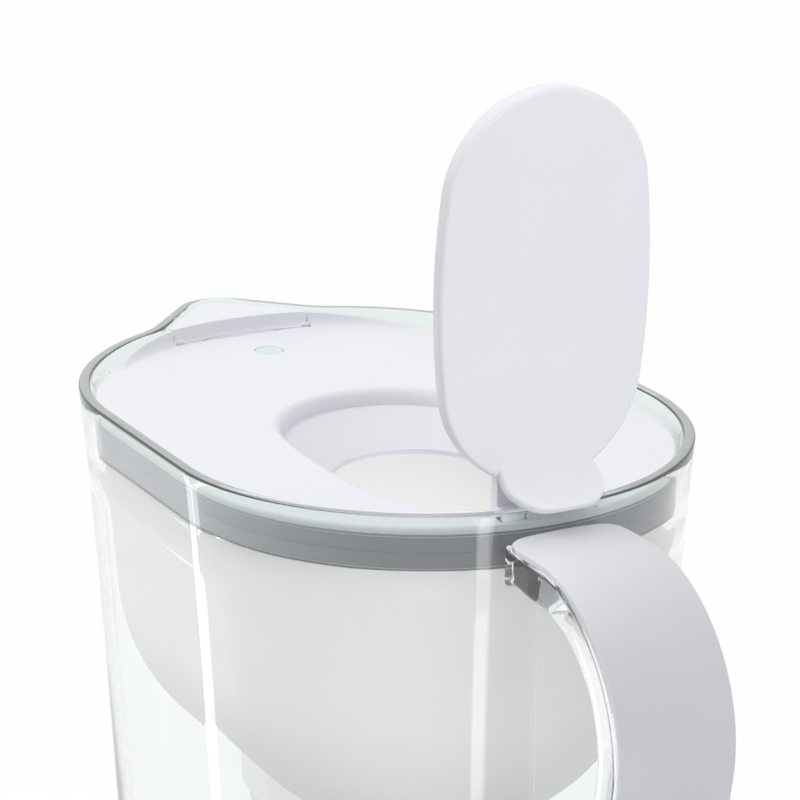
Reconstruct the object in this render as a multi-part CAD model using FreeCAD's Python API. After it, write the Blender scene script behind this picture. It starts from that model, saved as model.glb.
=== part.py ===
import FreeCAD, Part
import math
import os

# Water filter pitcher, in millimetres.
# The origin is the middle of the base, +Z is up, +X points to the handle and -X to the spout.

# Jug: a plan of two round ends joined by straight sides, drawn in towards the base
rim_width = 111.0
end_spacing = 41.5
jug_height = 256.0
jug_wall = 2.5
floor_thickness = 4.0
wall_draft = 2.8
flare = 1.2
base_radius = 12.0
foot_width = 9.0
foot_height = 1.6
rim_round = 1.1
rim_facets = 3

# Spout: a rounded V that fades into the wall
spout_reach = 14.0
spout_tip_radius = 10.0
spout_half_angle = 43.0
spout_blend_radius = 25.0
spout_depth = 60.0

# Bead inside the jug that carries the funnel
seat_depth = 12.0
seat_width = 1.8
seat_height = 3.0
seat_taper = 5.0

# Clearances
seat_gap = 0.3
wall_gap = 0.5
hinge_gap = 0.4
pin_clearance = 0.05
overrun = 5.0
pick_margin = 0.05

# Handle: a loop in the middle plane, with a cover on its outside
handle_width = 25.0
handle_drop = 6.8
handle_reach = 47.8
handle_corner_radius = 30.0
handle_lower_radius = 26.0
handle_length = 158.0
handle_lean = 10.0
handle_foot_rise = 14.0
frame_thickness = 7.3
frame_round = 5.5
frame_border = 0.8
cover_edge = 1.2
cover_crown = 2.3
cover_gap = 4.0

# Funnel: a basin with a flange on the bead, a pouring channel and a socket for the cartridge
flange_thickness = 3.2
basin_depth = 84.0
basin_draft = 5.0
basin_flat = 5.7
funnel_wall = 2.0
channel_radius = 24.0
channel_reach = 13.0
socket_depth = 56.0
well_depth = 10.0
socket_lip = 2.2
socket_rib_count = 6
socket_rib = 1.6

# Lid
lid_drop = 3.2
lid_plate = 2.0
skirt_wall = 2.4
skirt_groove = 0.8
groove_height = 0.9
lip_width = 2.9
lip_gap = 0.3
lip_top = 0.5
lip_angle = 48.0
lid_edge_round = 0.8
plug_depth = 7.0
plug_wall = 1.6

# Filling flap, drawn closed and then turned open
flap_front_land = 60.5
flap_rear_land = 5.6
flap_half_width = 23.1
flap_end_radius = 22.0
flap_thickness = 3.0
flap_wall = 1.6
flap_crown_radius = 210.0
flap_lean = 1.7
flap_edge_round = 0.9
flap_gap = 1.2
flap_hinge_inset = 8.0
recess_round = 2.6
roll_steps = 4
ledge_width = 1.5
dish_depth = 8.8
hole_length_share = 0.638
hole_half_width = 18.5
hole_end_radius = 17.5

# Hinge of the filling flap
hinge_pin_radius = 1.2
knuckle_radius = 2.3
boss_half_width = 5.0
ear_width = 4.6

# Thumb tab
tab_root = 10.4
tab_length = 12.4
tab_root_half_width = 9.7
tab_half_width = 12.2
tab_thickness = 2.2
tab_lean = 27.0
tab_corner_radius = 7.5
tab_root_depth = 2.0
tab_edge_round = 0.8

# Spout flap
seam_half_width = 16.6
spout_flap_thickness = 1.8
spout_flap_gap = 1.4
cove_way_share = 0.6
cove_rise_share = 0.3
trunnion_radius = 0.7
trunnion_length = 1.7
trunnion_rise = 0.14

# Indicator module under the lid
indicator_inset = 22.25
button_diameter = 6.4
button_flange = 0.6
button_flange_thickness = 0.8
button_travel = 0.5
button_gap = 0.15
module_half_length = 13.0
module_half_width = 10.5
module_wall = 1.4
module_height = 10.2
module_end_radius = 10.0
module_offset = 7.4
board_thickness = 1.0
board_drop = 3.6
board_gap = 0.2
switch_size = 3.4
switch_height = 1.2
plunger_diameter = 1.8
lamp_length = 1.6
lamp_width = 0.9
lamp_height = 0.7
cell_diameter = 16.0
cell_thickness = 3.2
clip_thickness = 0.4
clip_width = 5.0
gasket_thickness = 0.9
module_cover_thickness = 1.6

# Filter cartridge
cartridge_radius = 25.0
cartridge_draft = 2.0
cartridge_length = 64.0
cartridge_wall = 1.4
cartridge_flange = 3.4
cartridge_flange_thickness = 2.0
cartridge_gap = 0.6
seal_thickness = 1.0
seal_width = 2.2
cap_height = 15.0
cap_round = 9.0
cap_wall = 1.5
slot_count = 12
slot_width = 2.2
slot_length = 9.0
pull_height = 9.0
pull_span = 17.0
pull_bar = 3.2
screen_thickness = 0.8
screen_drop = 5.0
outlet_count = 8
outlet_hole = 2.4

# Lines and levels that several pieces share
end_radius = rim_width / 2
half_spacing = end_spacing / 2
plan_reach = half_spacing + end_radius
lid_level = jug_height - lid_drop
seat_level = jug_height - seat_depth
flange_bottom = seat_level + seat_gap
flange_top = flange_bottom + flange_thickness
skirt_bottom = flange_top + seat_gap
flap_reach = 2 * plan_reach - flap_hinge_inset - flap_front_land
flap_half_length = (flap_reach - flap_rear_land) / 2
hole_half_length = flap_half_length * hole_length_share
indicator_x = indicator_inset - plan_reach
axis_z = FreeCAD.Vector(0, 0, 1)


def vec(x, y, z):
    return FreeCAD.Vector(x, y, z)


def wall_inset(depth):
    """How far the outside of the jug has drawn in at a depth below the rim."""
    rest = max(0, 1 - depth / spout_depth)
    return depth * math.tan(math.radians(wall_draft)) + flare * (1 - rest ** 2)


def rounded_edges(corners, closed=True):
    """Edges through corner points (vector, radius), with each corner rounded by its radius."""
    count = len(corners)
    stops = []
    for i, (point, radius) in enumerate(corners):
        if radius == 0:
            stops.append((point, None, point))
            continue
        back = (corners[i - 1][0] - point).normalize()
        ahead = (corners[(i + 1) % count][0] - point).normalize()
        half_turn = back.getAngle(ahead) / 2
        reach = radius / math.tan(half_turn)
        inward = (back + ahead).normalize()
        middle = point + inward * (radius / math.sin(half_turn) - radius)
        stops.append((point + back * reach, middle, point + ahead * reach))
    edges = []
    for i, (start, middle, end) in enumerate(stops):
        if middle is not None:
            edges.append(Part.Arc(start, middle, end).toShape())
        if closed or i < count - 1:
            edges.append(Part.makeLine(end, stops[(i + 1) % count][0]))
    return edges


def rounded_face(corners):
    return Part.Face(Part.Wire(rounded_edges(corners)))


def one_solid(shape):
    """The single solid of a finished piece, with split faces joined."""
    return shape.removeSplitter().Solids[0]


def around(corners):
    """A solid that follows the jug's plan, from a section of (inset from the rim line, height, radius)."""
    side = [(vec(half_spacing, inset - end_radius, height), radius) for inset, height, radius in corners]
    face = rounded_face(side)
    handle_end = face.revolve(vec(half_spacing, 0, 0), axis_z, 180)
    near_side = face.extrude(vec(-end_spacing, 0, 0))
    far_side = near_side.mirror(vec(0, 0, 0), vec(0, 1, 0))
    far_face = face.translated(vec(-end_spacing, 0, 0))
    spout_end = far_face.revolve(vec(-half_spacing, 0, 0), axis_z, -180)
    return handle_end.fuse([near_side, far_side, spout_end]).removeSplitter()


def filled(corners):
    """As around, for sections that reach the middle line: corners run from top to bottom."""
    top = corners[0][1]
    bottom = corners[-1][1]
    return around([(end_radius, top, 0)] + corners + [(end_radius, bottom, 0)])


def oval_wire(half_length, half_width, end_arc, x, z):
    """An oval of two end arcs and two flatter side arcs that meet smoothly."""
    end_x = half_length - end_arc
    side_arc = (end_x ** 2 + half_width ** 2 - end_arc ** 2) / (2 * (half_width - end_arc))
    side_y = side_arc - half_width
    joint = vec(end_x, side_y, 0).normalize() * end_arc
    jx = end_x + joint.x
    jy = joint.y
    edges = []
    for turn in (0, 180):
        low = vec(jx, -jy, 0)
        high = vec(jx, jy, 0)
        back = vec(-jx, jy, 0)
        end = Part.Arc(low, vec(half_length, 0, 0), high).toShape()
        side = Part.Arc(high, vec(0, half_width, 0), back).toShape()
        for edge in (end, side):
            edges.append(edge.rotated(vec(0, 0, 0), axis_z, turn))
    wire = Part.Wire(edges)
    return wire.translated(vec(x, 0, z))


def oval_prism(half_length, half_width, end_arc, x, low, high):
    wire = oval_wire(half_length, half_width, end_arc, x, low)
    return Part.Face(wire).extrude(vec(0, 0, high - low))


def box(x_range, y_range, z_range):
    size = [high - low for low, high in (x_range, y_range, z_range)]
    return Part.makeBox(*size, vec(x_range[0], y_range[0], z_range[0]))


def cylinder_y(radius, x, z, low, high):
    return Part.makeCylinder(radius, high - low, vec(x, low, z), vec(0, 1, 0))


def edges_at(shape, test):
    return [edge for edge in shape.Edges if test(edge)]


# Spout

def spout_outline(inset):
    """Points of the V at an inset from its outside: where it leaves the round end, its flank and its tip."""
    angle = math.radians(spout_half_angle)
    along = vec(math.cos(angle), math.sin(angle), 0)
    outward = vec(-math.sin(angle), math.cos(angle), 0)
    end_centre = vec(-half_spacing, 0, 0)
    tip_centre = vec(spout_tip_radius - plan_reach - spout_reach, 0, 0)
    blend_centre_off = spout_tip_radius + spout_blend_radius
    start = tip_centre - end_centre + outward * blend_centre_off
    lean = start.dot(along)
    reach = end_radius + spout_blend_radius
    step = -lean - math.sqrt(lean ** 2 - start.Length ** 2 + reach ** 2)
    blend_centre = tip_centre + outward * blend_centre_off + along * step
    to_end = (end_centre - blend_centre).normalize()
    blend = spout_blend_radius + inset
    leave = blend_centre + to_end * blend
    bend = blend_centre + (to_end - outward).normalize() * blend
    flank = blend_centre - outward * blend
    tip_arc = spout_tip_radius - inset
    tip_start = tip_centre + outward * tip_arc
    tip = tip_centre - vec(tip_arc, 0, 0)
    return leave, bend, flank, tip_start, tip


def mirrored(point):
    return vec(point.x, -point.y, point.z)


def spout_wire(inset, z):
    leave, bend, flank, tip_start, tip = spout_outline(inset)
    near = [mirrored(p) for p in (leave, bend, flank, tip_start)]
    edges = [
        Part.makeLine(near[0], leave),
        Part.Arc(leave, bend, flank).toShape(),
        Part.makeLine(flank, tip_start),
        Part.Arc(tip_start, tip, near[3]).toShape(),
        Part.makeLine(near[3], near[2]),
        Part.Arc(near[2], near[1], near[0]).toShape(),
    ]
    return Part.Wire(edges).translated(vec(0, 0, z))


def wall_outline(inset, depth):
    """Outline of the jug at a depth below the rim, with the spout as far out as it still is there."""
    radius = end_radius - wall_inset(depth) - inset
    centre = vec(-half_spacing, 0, 0)
    left_over = 1 - depth / spout_depth

    def placed(point):
        away = point - centre
        excess = away.Length - (end_radius - inset)
        return centre + away.normalize() * (radius + excess * left_over)

    points = spout_outline(inset)
    leave, bend, flank, tip_start, tip = [placed(point) for point in points]
    corner = centre + vec(0, radius, 0)
    shoulder = centre + (corner + leave - centre * 2).normalize() * radius
    flank_edge = Part.makeLine(flank, tip_start)
    if left_over == 0:
        half_flank = placed((points[2] + points[3]) / 2)
        flank_edge = Part.Arc(flank, half_flank, tip_start).toShape()
    side = [
        Part.makeLine(vec(half_spacing, radius, 0), corner),
        Part.Arc(corner, shoulder, leave).toShape(),
        Part.Arc(leave, bend, flank).toShape(),
        flank_edge,
    ]
    far_end = vec(half_spacing + radius, 0, 0)
    handle_end = Part.Arc(vec(half_spacing, -radius, 0), far_end, vec(half_spacing, radius, 0)).toShape()
    tip_end = Part.Arc(tip_start, tip, mirrored(tip_start)).toShape()
    near = [edge.mirror(vec(0, 0, 0), vec(0, 1, 0)) for edge in reversed(side)]
    wire = Part.Wire([handle_end] + side + [tip_end] + near)
    return wire.translated(vec(0, 0, jug_height - depth))


def spout_wall(inset, rim_turn):
    """Upper part of the jug, from where the spout starts to the rim, filled. Its edge turns in or out."""
    steps = [(inset, depth) for depth in (spout_depth, 2 * spout_depth / 3, spout_depth / 3)]
    for i in range(rim_facets + 1):
        angle = math.radians(90 * i / rim_facets)
        depth = rim_round * (1 - math.sin(angle))
        steps.append((inset + rim_turn * rim_round * (1 - math.cos(angle)), depth))
    return Part.makeLoft([wall_outline(way, depth) for way, depth in steps], True, True)


# Jug

def lower_wall(inset, floor, corner_radius):
    """Lower part of the jug, filled, with its round foot."""
    return filled([
        (wall_inset(spout_depth) + inset, jug_height - spout_depth, 0),
        (wall_inset(jug_height - floor) + inset, floor, corner_radius),
    ])


def make_jug():
    outside = lower_wall(0, 0, base_radius).fuse(spout_wall(0, 1))
    inside = lower_wall(jug_wall, floor_thickness, base_radius - jug_wall).fuse(spout_wall(jug_wall, -1))
    body = outside.cut(inside)
    foot_inset = wall_inset(jug_height) + base_radius + foot_width
    body = body.cut(filled([(foot_inset, foot_height, 0), (foot_inset, -overrun, 0)]))
    return one_solid(body.fuse(seat_bead()))


def seat_bead():
    """Bead on the inner wall, left out where water runs to the spout."""
    wall = wall_inset(seat_depth) + jug_wall
    outer = wall - jug_wall / 2
    inner = wall + seat_width
    end = seat_level - seat_height - seat_taper
    bead = around([
        (outer, seat_level, 0),
        (inner, seat_level, 0),
        (inner, seat_level - seat_height, 0),
        (outer + wall_inset(seat_taper), end, 0),
    ])
    far = -plan_reach
    gate = box((far, -half_spacing), (-channel_radius, channel_radius), (end, seat_level))
    return bead.cut(gate)


# Handle

def handle_path():
    """Line between frame and cover, in the middle plane, from the rim's level down to the lower wall."""
    top = jug_height - handle_drop
    out = plan_reach + handle_reach
    low = top - handle_length
    lean = handle_length * math.tan(math.radians(handle_lean))
    root_x = plan_reach - wall_inset(handle_drop) - jug_wall
    foot_x = plan_reach - wall_inset(jug_height - low) - jug_wall
    corners = [
        (vec(root_x, 0, top), 0),
        (vec(out, 0, top), handle_corner_radius),
        (vec(out - lean, 0, low), handle_lower_radius),
        (vec(foot_x, 0, low + handle_foot_rise), 0),
    ]
    return Part.Wire(rounded_edges(corners, False))


def swept(section, path):
    """A solid from a closed section, drawn as (y, height) at the path's start, carried along the path."""
    start = path.Edges[0].Vertexes[0].Point
    corners = [(vec(start.x, y, start.z + height), radius) for y, height, radius in section]
    wire = Part.Wire(rounded_edges(corners))
    return path.makePipeShell([wire], True, False)


def jug_core():
    """Everything inside the jug's outer face, to trim what meets the wall."""
    return lower_wall(0, 0, base_radius).fuse(spout_wall(0, 1))


def make_handle_frame():
    half = handle_width / 2 + frame_border
    section = [
        (-half, 0, 0),
        (half, 0, 0),
        (half, -frame_thickness, frame_round),
        (-half, -frame_thickness, frame_round),
    ]
    return one_solid(swept(section, handle_path()).cut(jug_core()))


def make_handle_cover():
    half = handle_width / 2
    start = handle_path().Edges[0].Vertexes[0].Point
    low = start.z + cover_edge
    edges = [
        Part.makeLine(vec(start.x, half, low), vec(start.x, half, start.z)),
        Part.makeLine(vec(start.x, half, start.z), vec(start.x, -half, start.z)),
        Part.makeLine(vec(start.x, -half, start.z), vec(start.x, -half, low)),
        Part.Arc(vec(start.x, -half, low), vec(start.x, 0, start.z + cover_crown),
                 vec(start.x, half, low)).toShape(),
    ]
    band = handle_path().makePipeShell([Part.Wire(edges)], True, False)
    clear = filled([
        (-cover_gap, jug_height, 0),
        (wall_inset(jug_height) - cover_gap, 0, 0),
    ])
    return one_solid(band.cut(clear))


# Funnel

def channel(radius):
    """Upright round space between the funnel and the spout."""
    x = channel_reach - channel_radius - plan_reach
    return Part.makeCylinder(radius, jug_height + overrun, vec(x, 0, 0))


def basin_section(inset, floor):
    """Section of the basin at an inset from its outside: a drafted wall rounded to a flat floor."""
    top_inset = wall_inset(seat_depth) + jug_wall + seat_width + wall_gap + inset
    drop = flange_top - floor
    low_inset = top_inset + drop * math.tan(math.radians(basin_draft))
    half_corner = math.radians(90 + basin_draft) / 2
    corner_radius = (end_radius - low_inset - basin_flat) * math.tan(half_corner)
    return [(top_inset, flange_top, 0), (low_inset, floor, corner_radius)]


def basin_floor():
    return jug_height - basin_depth + funnel_wall


def make_funnel():
    floor = jug_height - basin_depth
    outside = filled(basin_section(0, floor)).cut(channel(channel_radius))
    flange_inset = wall_inset(seat_depth) + jug_wall + wall_gap
    flange = filled([
        (flange_inset, flange_top, 0),
        (flange_inset, flange_bottom, 0),
    ]).cut(channel(channel_radius))
    inside = filled(basin_section(funnel_wall, basin_floor()))
    inside = inside.cut(channel(channel_radius + funnel_wall))
    well = cartridge_radius + cartridge_flange + cartridge_gap
    well_wall = Part.makeCylinder(well + funnel_wall, well_depth, vec(0, 0, floor))
    well_room = Part.makeCylinder(well, basin_depth, vec(0, 0, basin_floor()))
    hole = Part.makeCylinder(socket_radius(0), basin_depth, vec(0, 0, floor - overrun))
    body = outside.fuse([flange, well_wall]).cut(inside).cut([well_room, hole]).fuse(socket_cup())
    return one_solid(body)


def socket_radius(depth):
    """Inner radius of the socket at a depth below the basin's floor."""
    return cartridge_radius + cartridge_gap - depth * math.tan(math.radians(cartridge_draft))


def socket_cup():
    """Tapered sleeve under the basin, open below inside a lip, with ribs round it."""
    top = jug_height - basin_depth
    bottom = top - socket_depth
    outer = Part.makeCone(socket_radius(socket_depth) + funnel_wall, socket_radius(0) + funnel_wall,
                          socket_depth + funnel_wall, vec(0, 0, bottom))
    inner = Part.makeCone(socket_radius(socket_depth), socket_radius(0),
                          socket_depth + funnel_wall, vec(0, 0, bottom))
    cup = outer.cut(inner)
    half = socket_rib / 2
    reach = socket_radius(0) + funnel_wall + socket_lip
    root = socket_radius(socket_depth) + funnel_wall / 2
    for i in range(socket_rib_count):
        corners = [
            (vec(root, -half, bottom), 0),
            (vec(root + funnel_wall / 2, -half, bottom), 0),
            (vec(reach, -half, top + funnel_wall / 2), 0),
            (vec(root, -half, top + funnel_wall / 2), 0),
        ]
        rib = rounded_face(corners).extrude(vec(0, socket_rib, 0))
        rib = rib.cut(inner)
        cup = cup.fuse(rib.rotated(vec(0, 0, 0), axis_z, i * 360 / socket_rib_count))
    return cup


# Lid

def lid_inset():
    return wall_inset(jug_height - skirt_bottom) + jug_wall + wall_gap


def hinge_x():
    return plan_reach - flap_hinge_inset


def oval_x():
    return hinge_x() - flap_reach + flap_half_length


def recess_floor():
    return lid_level - flap_thickness - seat_gap


def recess_size(extra):
    return flap_half_length + extra, flap_half_width + extra, flap_end_radius + extra


def hole_size(extra):
    return hole_half_length + extra, hole_half_width + extra, hole_end_radius + extra


def lid_plate_block():
    edge = lid_inset()
    groove_top = lid_level - lid_plate
    groove_low = groove_top - groove_height
    plate = filled([
        (edge, lid_level, lid_edge_round),
        (edge, groove_top, 0),
        (edge + skirt_groove, groove_top, 0),
        (edge + skirt_groove, groove_low, 0),
        (edge, groove_low, 0),
        (edge, skirt_bottom, 0),
    ])
    hollow = filled([
        (edge + skirt_wall, lid_level - lid_plate, 0),
        (edge + skirt_wall, skirt_bottom - overrun, 0),
    ])
    return plate.cut(hollow)


def plug_ring():
    """Thin ring under the plate that centres the lid inside the funnel."""
    drop = plug_depth + lid_level - lid_plate - flange_top
    inner_wall = basin_section(funnel_wall, basin_floor())[0][0]
    edge = inner_wall + wall_gap + drop * math.tan(math.radians(basin_draft))
    low = lid_level - lid_plate - drop
    ring = around([
        (edge, lid_level - lid_plate, 0),
        (edge + plug_wall, lid_level - lid_plate, 0),
        (edge + plug_wall, low, 0),
        (edge, low, 0),
    ])
    return ring.cut(channel(channel_radius + funnel_wall + wall_gap))


def spout_lip():
    """Upstand with a hollow inner face that runs up to the rim beside the spout and dies away."""
    edge = lid_inset()
    top = jug_height - lip_gap
    x = -half_spacing
    crease = edge + lip_width
    sag_inset = edge + lip_top + (lip_width - lip_top) / 3
    sag_level = lid_level + (top - lid_level) / 3
    low = lid_level - lid_plate
    points = [vec(x, inset - end_radius, z) for inset, z in (
        (crease, low), (crease, lid_level), (edge + lip_top, top), (edge, top), (edge, low))]
    sag = vec(x, sag_inset - end_radius, sag_level)
    edges = [
        Part.makeLine(points[0], points[1]),
        Part.Arc(points[1], sag, points[2]).toShape(),
        Part.makeLine(points[2], points[3]),
        Part.makeLine(points[3], points[4]),
        Part.makeLine(points[4], points[0]),
    ]
    face = Part.Face(Part.Wire(edges))
    face = face.rotated(vec(x, 0, 0), axis_z, lip_angle - 90)
    lip = face.revolve(vec(x, 0, 0), axis_z, -2 * lip_angle)
    far = (end_radius - edge) * math.cos(math.radians(lip_angle))
    near = math.sqrt((end_radius - edge) ** 2 - seam_half_width ** 2)
    slope = (top - lid_level) / (near - far)
    wide = end_radius
    run = near + overrun
    corners = [
        (vec(x - far, -wide, lid_level), 0),
        (vec(x - run, -wide, lid_level + (run - far) * slope), 0),
        (vec(x, -wide, lid_level + (run - far) * slope), 0),
        (vec(x, -wide, lid_level), 0),
    ]
    fade = rounded_face(corners).extrude(vec(0, 2 * wide, 0))
    return lip.cut(fade)


def flap_recess():
    """Space of the filling recess: its rolled edge, the flap's seat, the sloping dish and the hole."""
    x = oval_x()
    seat = oval_prism(*recess_size(flap_gap), x, recess_floor(), lid_level)
    roll = []
    for i in range(roll_steps + 1):
        angle = math.radians(90 * i / roll_steps)
        size = recess_size(flap_gap + recess_round * (1 - math.cos(angle)))
        roll.append(oval_wire(*size, x, lid_level - recess_round * (1 - math.sin(angle))))
    above = Part.Face(roll[-1]).extrude(vec(0, 0, overrun))
    hole_level = lid_level - dish_depth
    dish = Part.makeLoft([oval_wire(*hole_size(0), x, hole_level),
                          oval_wire(*recess_size(flap_gap - ledge_width), x, recess_floor())], True, True)
    hole = oval_prism(*hole_size(0), x, hole_level - overrun, hole_level)
    return seat.fuse([dish, hole, Part.makeLoft(roll, True, False), above])


def dish_shell():
    """Outside of the recess under the plate."""
    x = oval_x()
    step = recess_floor() - lid_plate / 2
    low = lid_level - dish_depth - lid_plate / 2
    seat = oval_prism(*recess_size(flap_gap + lid_plate), x, step, lid_level - lid_plate)
    dish = Part.makeLoft([oval_wire(*hole_size(lid_plate), x, low),
                          oval_wire(*recess_size(flap_gap + lid_plate), x, step)], True, True)
    return seat.fuse(dish)


def hinge_block():
    """Thick part of the lid under the flap's hinge."""
    half = boss_half_width + ear_width + 2 * hinge_gap + lid_plate
    low = lid_level - knuckle_radius - hinge_gap - lid_plate
    wide = plan_reach - lid_inset()
    back = oval_x() + flap_half_length
    block = box((back, wide), (-half, half), (low, lid_level))
    edge = lid_inset()
    return block.common(filled([(edge, lid_level, 0), (edge, low, 0)]))


def hinge_boss():
    """Knuckle in the middle of the hinge, standing on the lid."""
    return cylinder_y(knuckle_radius, hinge_x(), lid_level, -boss_half_width, boss_half_width)


def ear_space(side):
    """Room for one ear of the flap and for its turn."""
    low = boss_half_width
    high = boss_half_width + ear_width + 2 * hinge_gap
    span = (low, high) if side > 0 else (-high, -low)
    room = knuckle_radius + hinge_gap
    slot = box((oval_x(), hinge_x()), span, (recess_floor(), lid_level + overrun))
    back = box((hinge_x(), hinge_x() + room), span, (lid_level, lid_level + overrun))
    barrel = cylinder_y(room, hinge_x(), lid_level, span[0], span[1])
    return slot.fuse([back, barrel])


def trunnion_axis():
    """X and Z of the spout flap's hinge line."""
    radius = end_radius - lid_inset() - lip_width / 2
    x = -half_spacing - math.sqrt(radius ** 2 - seam_half_width ** 2)
    return x, lid_level + trunnion_rise


def make_lid():
    x, z = trunnion_axis()
    body = lid_plate_block().fuse([plug_ring(), spout_lip(), dish_shell(), hinge_block()])
    body = body.cut(flap_recess()).fuse(hinge_boss())
    for side in (1, -1):
        body = body.cut(ear_space(side))
    pin_hole = hinge_pin_radius + pin_clearance
    reach = boss_half_width + overrun
    body = body.cut(cylinder_y(pin_hole, hinge_x(), lid_level, -reach, reach))
    body = body.cut(spout_opening())
    bore = seam_half_width + trunnion_length + hinge_gap
    body = body.cut(cylinder_y(trunnion_radius + pin_clearance, x, z, -bore, bore))
    body = body.cut(Part.makeCylinder(button_diameter / 2 + button_gap, lid_plate + 2 * overrun,
                                      vec(indicator_x, 0, lid_level - lid_plate - overrun)))
    return one_solid(body)


def spout_opening():
    """Gap in the lid's edge and skirt for the spout flap and the water."""
    half = seam_half_width + hinge_gap
    crease = end_radius - lid_inset() - lip_width
    reach = plan_reach
    space = box((-reach, -half_spacing), (-half, half), (skirt_bottom - overrun, jug_height + overrun))
    keep = Part.makeCylinder(crease, jug_height, vec(-half_spacing, 0, lid_level - lid_plate))
    return space.cut(keep)


# Filling flap

def opened(shape):
    """A piece of the flap turned from closed to its open stop."""
    return shape.rotated(vec(hinge_x(), 0, lid_level), vec(0, 1, 0), 90 + flap_lean)


def flap_panel():
    """Oval shell, crowned across its width, hollow below."""
    x = oval_x()
    low = lid_level - flap_thickness
    slab = oval_prism(*recess_size(0), x, low, lid_level + flap_thickness)
    crown_z = lid_level - flap_crown_radius + flap_thickness / 3
    crown = Part.makeCylinder(flap_crown_radius, 2 * flap_half_length + 2 * overrun,
                              vec(x - flap_half_length - overrun, 0, crown_z), vec(1, 0, 0))
    panel = slab.common(crown.rotated(vec(x, 0, crown_z), vec(1, 0, 0), 180))
    top = edges_at(panel, lambda edge: edge.BoundBox.ZMin > lid_level - flap_thickness / 2)
    panel = panel.makeFillet(flap_edge_round, top)
    hollow = oval_prism(*recess_size(-flap_wall), x, low - overrun, lid_level - flap_wall)
    return panel.cut(hollow)


def flap_tab():
    """Thumb tab: a plate that widens to a round end and leans towards the hinge."""
    root = hinge_x() - tab_root
    corners = [
        (vec(-tab_root_depth, -tab_root_half_width, 0), 0),
        (vec(tab_length, -tab_half_width, 0), tab_corner_radius),
        (vec(tab_length, tab_half_width, 0), tab_corner_radius),
        (vec(-tab_root_depth, tab_root_half_width, 0), 0),
    ]
    plate = rounded_face(corners).extrude(vec(0, 0, -tab_thickness))
    end = edges_at(plate, lambda edge: edge.BoundBox.ZLength < tab_thickness / 2
                   and edge.BoundBox.XMax > tab_length / 2)
    plate = plate.makeFillet(tab_edge_round, end)
    plate = plate.rotated(vec(0, 0, 0), vec(0, 1, 0), tab_lean - 90)
    return plate.translated(vec(root, 0, lid_level))


def flap_ear(side):
    """Arm from the panel to the hinge, with its barrel."""
    low = boss_half_width + hinge_gap
    high = low + ear_width
    span = (low, high) if side > 0 else (-high, -low)
    arm = box((hinge_x() - tab_root, hinge_x()), span, (lid_level - knuckle_radius, lid_level))
    return arm.fuse(cylinder_y(knuckle_radius, hinge_x(), lid_level, span[0], span[1]))


def make_fill_flap():
    body = flap_panel().fuse([flap_tab(), flap_ear(1), flap_ear(-1)])
    reach = boss_half_width + ear_width + overrun
    body = body.cut(cylinder_y(hinge_pin_radius + pin_clearance, hinge_x(), lid_level, -reach, reach))
    return one_solid(opened(body))


def make_flap_hinge_pin():
    reach = boss_half_width + hinge_gap + ear_width
    return cylinder_y(hinge_pin_radius, hinge_x(), lid_level, -reach, reach)


# Spout flap

def cove_wire(way, height):
    """Outline of the space over the flap's hollow top, part of the way from crease to spout edge."""
    crease = end_radius - lid_inset() - lip_width
    edge = end_radius - lid_inset() - lip_top
    half = seam_half_width
    tip_start, tip = spout_outline(jug_wall + spout_flap_gap + lip_top)[3:]
    middle_y = (half + tip_start.y) / 2

    def on_circle(radius, y):
        return vec(-half_spacing - math.sqrt(radius ** 2 - y ** 2), y, 0)

    seam_point = on_circle(edge, half)
    middle_high = seam_point + (tip_start - seam_point) * ((half - middle_y) / (half - tip_start.y))
    pairs = [
        (on_circle(crease, half), seam_point),
        (on_circle(crease, middle_y), middle_high),
        (on_circle(crease, tip_start.y), tip_start),
        (on_circle(crease, 0), tip),
    ]
    seam, middle, turn, end = [low + (high - low) * way for low, high in pairs]
    back = vec(-half_spacing, half, 0)
    flank = Part.BSplineCurve()
    flank.interpolate([seam, middle, turn])
    near_flank = Part.BSplineCurve()
    near_flank.interpolate([mirrored(turn), mirrored(middle), mirrored(seam)])
    edges = [
        Part.makeLine(back, seam),
        flank.toShape(),
        Part.Arc(turn, end, mirrored(turn)).toShape(),
        near_flank.toShape(),
        Part.makeLine(mirrored(seam), mirrored(back)),
        Part.makeLine(mirrored(back), back),
    ]
    return Part.Wire(edges).translated(vec(0, 0, height))


def cove_space():
    """Space over the hollow top of the spout flap, from the lid's level to above the rim."""
    top = jug_height - lip_gap
    rise = top - lid_level
    upper = cove_wire(1, top)
    wires = [cove_wire(0, lid_level), cove_wire(cove_way_share, lid_level + rise * cove_rise_share), upper]
    hollow = Part.makeLoft(wires, True, True)
    return hollow.fuse(Part.Face(upper).extrude(vec(0, 0, overrun)))


def make_spout_flap():
    x, z = trunnion_axis()
    low = lid_level - spout_flap_thickness
    top = jug_height - lip_gap
    half = seam_half_width
    crease = end_radius - lid_inset() - lip_width + hinge_gap
    beak = Part.Face(spout_wire(jug_wall + spout_flap_gap, low)).extrude(vec(0, 0, top - low))
    disc = Part.makeCylinder(end_radius - lid_inset(), top - low, vec(-half_spacing, 0, low))
    inner = Part.makeCylinder(crease, jug_height, vec(-half_spacing, 0, 0))
    reach = plan_reach + spout_reach
    strip = box((-reach, -half_spacing), (-half, half), (low, top))
    body = beak.fuse(disc).common(strip).cut(inner)
    space = cove_space()
    body = body.common(space.translated(vec(0, 0, -spout_flap_thickness))).cut(space)
    pin_root = half - trunnion_length
    for low_y, high_y in ((pin_root, half + trunnion_length), (-half - trunnion_length, -pin_root)):
        body = body.fuse(cylinder_y(trunnion_radius, x, z, low_y, high_y))
    return one_solid(body)


# Indicator module

module_x = indicator_x + module_offset
module_top = lid_level - lid_plate
board_top = module_top - board_drop
board_bottom = board_top - board_thickness
module_bottom = module_top - module_height


def module_prism(inset, low, high):
    return oval_prism(module_half_length - inset, module_half_width - inset, module_end_radius - inset,
                      module_x, low, high)


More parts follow.
